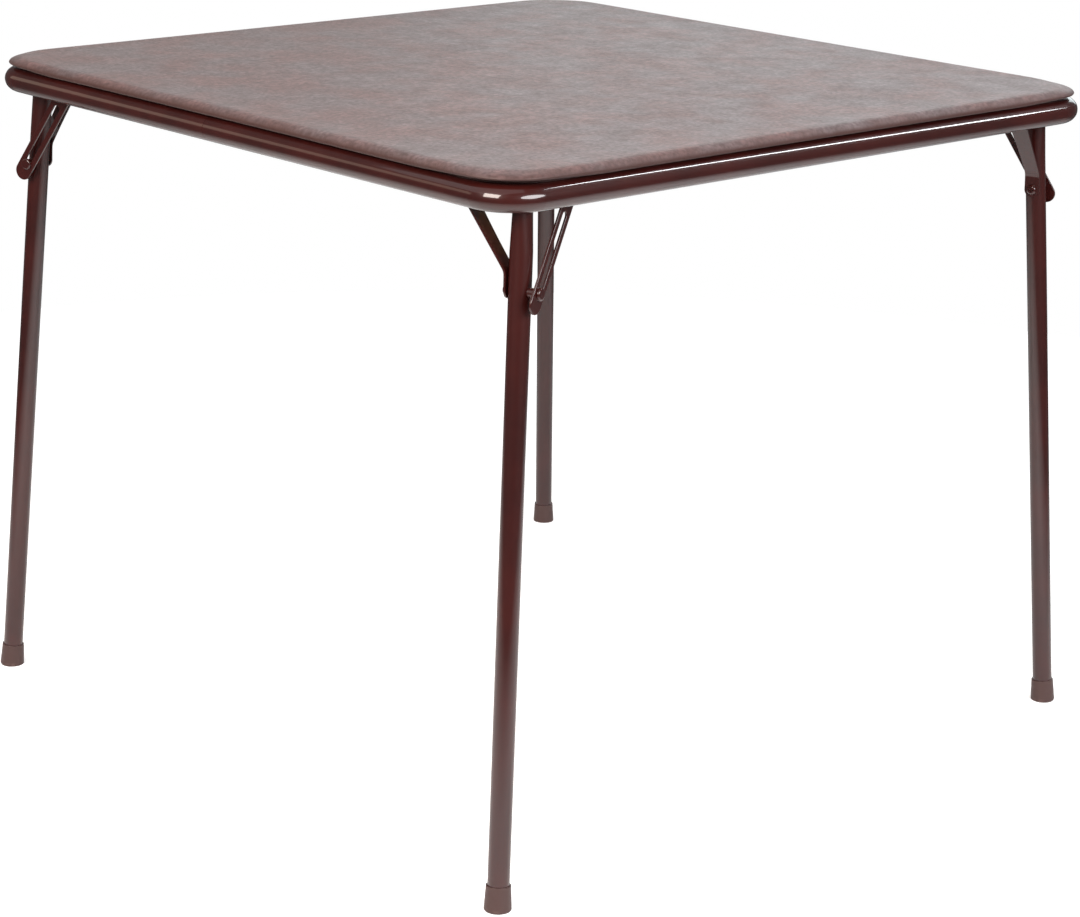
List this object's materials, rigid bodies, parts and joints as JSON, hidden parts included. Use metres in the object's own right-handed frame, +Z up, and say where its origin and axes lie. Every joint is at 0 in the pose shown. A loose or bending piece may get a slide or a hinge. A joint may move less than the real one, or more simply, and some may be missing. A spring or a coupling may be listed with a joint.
{
  "type": "folding card table",
  "caption": "Square card table with a padded vinyl top in a bent tube frame; each leg folds under the top and is held open by a brace strap and a slotted lock link.",
  "frame": {"origin": "on the floor, under the middle of the square top", "axes": "+Z up; X and Y along the sides of the top; corner 1 at -X -Y, the others anticlockwise from above"},
  "size_m": [0.8748, 0.8748, 0.708],
  "materials": {
    "vinyl": "matte embossed",
    "foam": "open cell foam",
    "board": "hard fibreboard",
    "frame_enamel": "gloss powder coat",
    "bare_steel": "mill finish",
    "zinc": "dull plated",
    "foot_plastic": "moulded"
  },
  "bodies": {
    "table_frame": {"frame_tube": "frame_enamel", "frame_sleeve": "bare_steel", "panel_board": "board", "foam_pad": "foam", "vinyl_cover": "vinyl", "panel_screws": "zinc", "panel_clip_1": "frame_enamel", "corner_bracket_1": "frame_enamel", "hinge_rod_1": "zinc", "link_rivet_1": "zinc", "panel_clip_2": "frame_enamel", "corner_bracket_2": "frame_enamel", "hinge_rod_2": "zinc", "link_rivet_2": "zinc", "panel_clip_3": "frame_enamel", "corner_bracket_3": "frame_enamel", "hinge_rod_3": "zinc", "link_rivet_3": "zinc", "panel_clip_4": "frame_enamel", "corner_bracket_4": "frame_enamel", "hinge_rod_4": "zinc", "link_rivet_4": "zinc"},
    "leg_1": {"leg_tube_1": "frame_enamel", "brace_strap_1": "frame_enamel", "leg_bolt_1": "frame_enamel", "bolt_spacer_1": "frame_enamel", "foot_cap_1": "foot_plastic"},
    "link_1": {"lock_link_1": "frame_enamel"},
    "nut_1": {"guide_nut_1": "frame_enamel"},
    "leg_2": {"leg_tube_2": "frame_enamel", "brace_strap_2": "frame_enamel", "leg_bolt_2": "frame_enamel", "bolt_spacer_2": "frame_enamel", "foot_cap_2": "foot_plastic"},
    "link_2": {"lock_link_2": "frame_enamel"},
    "nut_2": {"guide_nut_2": "frame_enamel"},
    "leg_3": {"leg_tube_3": "frame_enamel", "brace_strap_3": "frame_enamel", "leg_bolt_3": "frame_enamel", "bolt_spacer_3": "frame_enamel", "foot_cap_3": "foot_plastic"},
    "link_3": {"lock_link_3": "frame_enamel"},
    "nut_3": {"guide_nut_3": "frame_enamel"},
    "leg_4": {"leg_tube_4": "frame_enamel", "brace_strap_4": "frame_enamel", "leg_bolt_4": "frame_enamel", "bolt_spacer_4": "frame_enamel", "foot_cap_4": "foot_plastic"},
    "link_4": {"lock_link_4": "frame_enamel"},
    "nut_4": {"guide_nut_4": "frame_enamel"}
  },
  "joints": [
    {"name": "leg_fold_1", "type": "hinge", "parent": "table_frame", "child": "leg_1", "pos_m": [-0.3703, -0.3886, 0.68], "axis": [0.309, -0.9511, 0], "range_deg": [0, 94]},
    {"name": "link_swing_1", "type": "hinge", "parent": "table_frame", "child": "link_1", "pos_m": [-0.31626, -0.39312, 0.6778], "axis": [0.309, -0.9511, 0], "range_deg": [0, 125.6]},
    {"name": "nut_slide_1", "type": "slide", "parent": "link_1", "child": "nut_1", "axis": [0.5268, 0.1712, 0.8326], "range_m": [0, 0.06485]},
    {"name": "leg_fold_2", "type": "hinge", "parent": "table_frame", "child": "leg_2", "pos_m": [0.3886, -0.3703, 0.68], "axis": [0.9511, 0.309, 0], "range_deg": [0, 94]},
    {"name": "link_swing_2", "type": "hinge", "parent": "table_frame", "child": "link_2", "pos_m": [0.39312, -0.31626, 0.6778], "axis": [0.9511, 0.309, 0], "range_deg": [0, 125.6]},
    {"name": "nut_slide_2", "type": "slide", "parent": "link_2", "child": "nut_2", "axis": [-0.1712, 0.5268, 0.8326], "range_m": [0, 0.06485]},
    {"name": "leg_fold_3", "type": "hinge", "parent": "table_frame", "child": "leg_3", "pos_m": [0.3703, 0.3886, 0.68], "axis": [-0.309, 0.9511, 0], "range_deg": [0, 94]},
    {"name": "link_swing_3", "type": "hinge", "parent": "table_frame", "child": "link_3", "pos_m": [0.31626, 0.39312, 0.6778], "axis": [-0.309, 0.9511, 0], "range_deg": [0, 125.6]},
    {"name": "nut_slide_3", "type": "slide", "parent": "link_3", "child": "nut_3", "axis": [-0.5268, -0.1712, 0.8326], "range_m": [0, 0.06485]},
    {"name": "leg_fold_4", "type": "hinge", "parent": "table_frame", "child": "leg_4", "pos_m": [-0.3886, 0.3703, 0.68], "axis": [-0.9511, -0.309, 0], "range_deg": [0, 94]},
    {"name": "link_swing_4", "type": "hinge", "parent": "table_frame", "child": "link_4", "pos_m": [-0.39312, 0.31626, 0.6778], "axis": [-0.9511, -0.309, 0], "range_deg": [0, 125.6]},
    {"name": "nut_slide_4", "type": "slide", "parent": "link_4", "child": "nut_4", "axis": [0.1712, -0.5268, 0.8326], "range_m": [0, 0.06485]}
  ],
  "couplings": [
    {"joint": "link_swing_1", "follows": "leg_fold_1", "ratio": 1.3356},
    {"joint": "nut_slide_1", "follows": "leg_fold_1", "m_per_rad": 0.039468},
    {"joint": "link_swing_2", "follows": "leg_fold_2", "ratio": 1.3356},
    {"joint": "nut_slide_2", "follows": "leg_fold_2", "m_per_rad": 0.039468},
    {"joint": "link_swing_3", "follows": "leg_fold_3", "ratio": 1.3356},
    {"joint": "nut_slide_3", "follows": "leg_fold_3", "m_per_rad": 0.039468},
    {"joint": "link_swing_4", "follows": "leg_fold_4", "ratio": 1.3356},
    {"joint": "nut_slide_4", "follows": "leg_fold_4", "m_per_rad": 0.039468}
  ]
}
